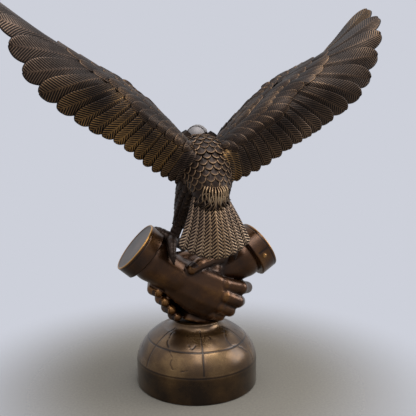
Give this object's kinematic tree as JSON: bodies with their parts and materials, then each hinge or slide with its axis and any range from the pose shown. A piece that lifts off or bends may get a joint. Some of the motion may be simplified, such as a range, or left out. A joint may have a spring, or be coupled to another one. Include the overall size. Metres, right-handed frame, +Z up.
{
  "type": "eagle statue",
  "caption": "Cast bronze eagle with raised wings, perched on two clasped hands that stand on a half-globe base.",
  "frame": {"origin": "centre of the half globe's flat underside", "axes": "+Z up, +Y the way the eagle faces, +X to the eagle's right"},
  "size_m": [0.5505, 0.181, 0.5428],
  "materials": {
    "globe_bronze": "brown patina over cast bronze, waxed to a soft gloss",
    "hand_bronze": "brown patina over cast bronze, waxed, rubbed lighter on the knuckles",
    "eagle_bronze": "dark brown patina over cast bronze, feather edges rubbed bright"
  },
  "bodies": {
    "root": {"globe_base": "globe_bronze", "clasped_hands": "hand_bronze", "eagle": "eagle_bronze"}
  },
  "joints": []
}
